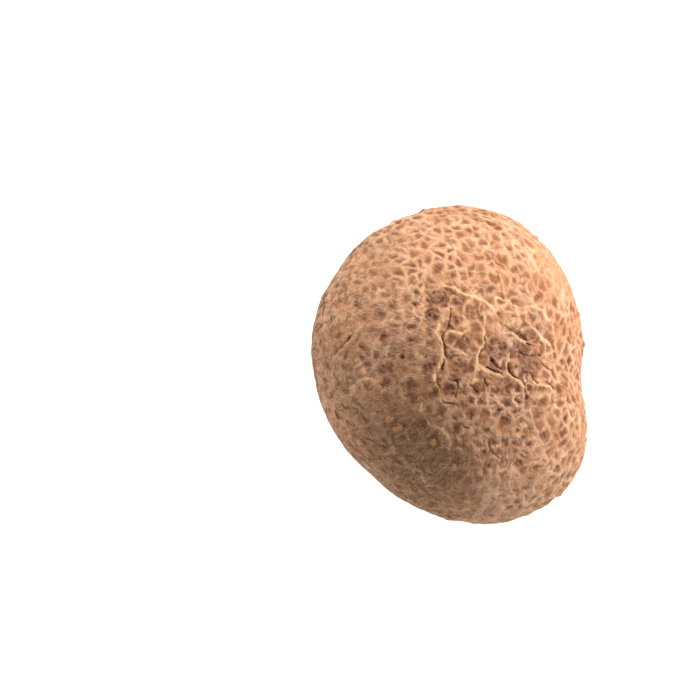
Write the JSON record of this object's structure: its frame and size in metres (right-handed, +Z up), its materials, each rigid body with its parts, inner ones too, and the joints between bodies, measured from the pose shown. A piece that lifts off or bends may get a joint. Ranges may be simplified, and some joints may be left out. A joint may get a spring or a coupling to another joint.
{
  "type": "shiitake mushroom",
  "caption": "Fresh shiitake mushroom lying on its margin and stem: domed tan cap with a raised net over its skin, torn crown, rolled-in margin, radial gills under it, short bent stem.",
  "frame": {"origin": "on the surface that the mushroom lies on, under the middle of its bounding box", "axes": "+Z up from that surface; the low side of the cap points to +X and its crown leans that way by 26 degrees; the cut stem points down and to -X"},
  "size_m": [0.0612, 0.071, 0.0414],
  "materials": {
    "cap_skin": "dry, matt, tan brown skin with paler raised net and darker sunken scales",
    "gills": "matt, cream, soft thin plates",
    "stem": "matt, pale fawn, tough and fibrous"
  },
  "bodies": {
    "root": {"shiitake_mushroom": "cap_skin"}
  },
  "joints": []
}
